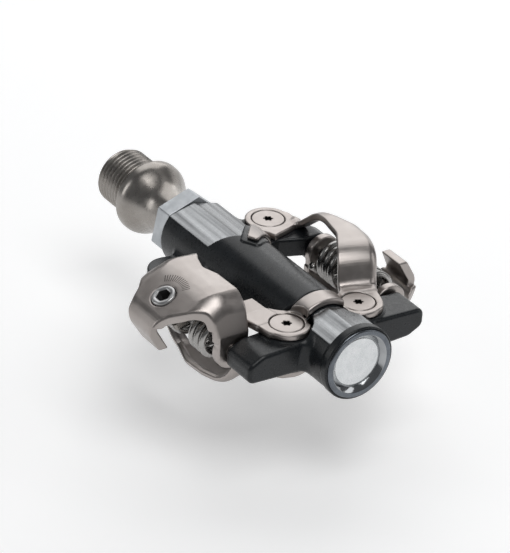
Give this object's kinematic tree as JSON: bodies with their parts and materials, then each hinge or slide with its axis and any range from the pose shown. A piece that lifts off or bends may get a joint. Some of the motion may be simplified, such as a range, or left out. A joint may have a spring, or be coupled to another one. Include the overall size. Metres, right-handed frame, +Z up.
{
  "type": "clipless pedal",
  "caption": "Double-sided clipless bicycle pedal: threaded spindle, slim barrel on ball bearings, and a fixed hoop and sprung claw on each face that hold a shoe cleat.",
  "frame": {"origin": "on the spindle axis, in the plane of the shoulder that meets the crank arm", "axes": "+X outward along the spindle, away from the crank; +Y forward, the way the bicycle travels; +Z up with one binding facing up"},
  "size_m": [0.0989, 0.0736, 0.026],
  "materials": {
    "spindle_steel": "satin",
    "collar_alloy": "fine matt",
    "black_seal": "matt",
    "bearing_steel": "polished",
    "sleeve_resin": "plain",
    "black_body": "black satin, machined bare on the flats",
    "cap_alloy": "turned, bright bevel",
    "nickel_plate": "warm satin nickel",
    "bright_steel": "bright"
  },
  "bodies": {
    "axle": {"spindle": "spindle_steel", "cone_nut": "spindle_steel", "lock_nut": "spindle_steel"},
    "pedal": {"lock_collar": "collar_alloy", "collar_seal": "black_seal", "inner_cup": "bearing_steel", "outer_cup": "bearing_steel", "bearing_sleeve": "sleeve_resin", "pedal_body": "black_body", "end_cap": "cap_alloy", "top_cleat_plate": "nickel_plate", "bottom_cleat_plate": "nickel_plate", "top_plate_bolts": "nickel_plate", "bottom_plate_bolts": "nickel_plate", "top_hinge_pin": "spindle_steel", "bottom_hinge_pin": "spindle_steel", "top_inner_spring": "bright_steel", "top_outer_spring": "bright_steel", "bottom_inner_spring": "bright_steel", "bottom_outer_spring": "bright_steel"},
    "inner_ball_ring": {"inner_balls": "bearing_steel"},
    "outer_ball_ring": {"outer_balls": "bearing_steel"},
    "top_jaw": {"top_claw": "nickel_plate"},
    "bottom_jaw": {"bottom_claw": "nickel_plate"},
    "top_adjuster": {"top_tension_screw": "bright_steel"},
    "bottom_adjuster": {"bottom_tension_screw": "bright_steel"},
    "top_anchor": {"top_tension_nut": "spindle_steel"},
    "bottom_anchor": {"bottom_tension_nut": "spindle_steel"}
  },
  "joints": [
    {"name": "pedal_spin", "type": "hinge", "parent": "axle", "child": "pedal", "pos_m": [0.0505, 0, 0], "axis": [1, 0, 0], "continuous": true},
    {"name": "inner_ball_orbit", "type": "hinge", "parent": "axle", "child": "inner_ball_ring", "pos_m": [0.031, 0, 0], "axis": [1, 0, 0], "continuous": true},
    {"name": "outer_ball_orbit", "type": "hinge", "parent": "axle", "child": "outer_ball_ring", "pos_m": [0.0701, 0, 0], "axis": [1, 0, 0], "continuous": true},
    {"name": "top_claw_open", "type": "hinge", "parent": "pedal", "child": "top_jaw", "pos_m": [0.055, -0.0214, 0], "axis": [1, 0, 0], "range_deg": [0, 14], "stiffness_Nm_per_rad": 8, "springref_deg": -5.73},
    {"name": "bottom_claw_open", "type": "hinge", "parent": "pedal", "child": "bottom_jaw", "pos_m": [0.055, 0.0214, 0], "axis": [1, 0, 0], "range_deg": [0, 14], "stiffness_Nm_per_rad": 8, "springref_deg": -5.73},
    {"name": "top_screw_turn", "type": "hinge", "parent": "top_jaw", "child": "top_adjuster", "pos_m": [0.0545, -0.031, 0.00934], "axis": [0, -0.4384, 0.8988], "range_deg": [-185, 545]},
    {"name": "bottom_screw_turn", "type": "hinge", "parent": "bottom_jaw", "child": "bottom_adjuster", "pos_m": [0.0545, 0.031, -0.00934], "axis": [0, 0.4384, -0.8988], "range_deg": [-185, 545]},
    {"name": "top_nut_travel", "type": "slide", "parent": "top_jaw", "child": "top_anchor", "axis": [0, -0.4384, 0.8988], "range_m": [-0.00035, 0.00105]},
    {"name": "bottom_nut_travel", "type": "slide", "parent": "bottom_jaw", "child": "bottom_anchor", "axis": [0, 0.4384, -0.8988], "range_m": [-0.00035, 0.00105]}
  ],
  "couplings": [
    {"joint": "inner_ball_orbit", "follows": "pedal_spin", "ratio": 0.622},
    {"joint": "outer_ball_orbit", "follows": "pedal_spin", "ratio": 0.622},
    {"joint": "top_screw_turn", "follows": "top_nut_travel", "rad_per_m": 8976},
    {"joint": "bottom_screw_turn", "follows": "bottom_nut_travel", "rad_per_m": 8976}
  ]
}
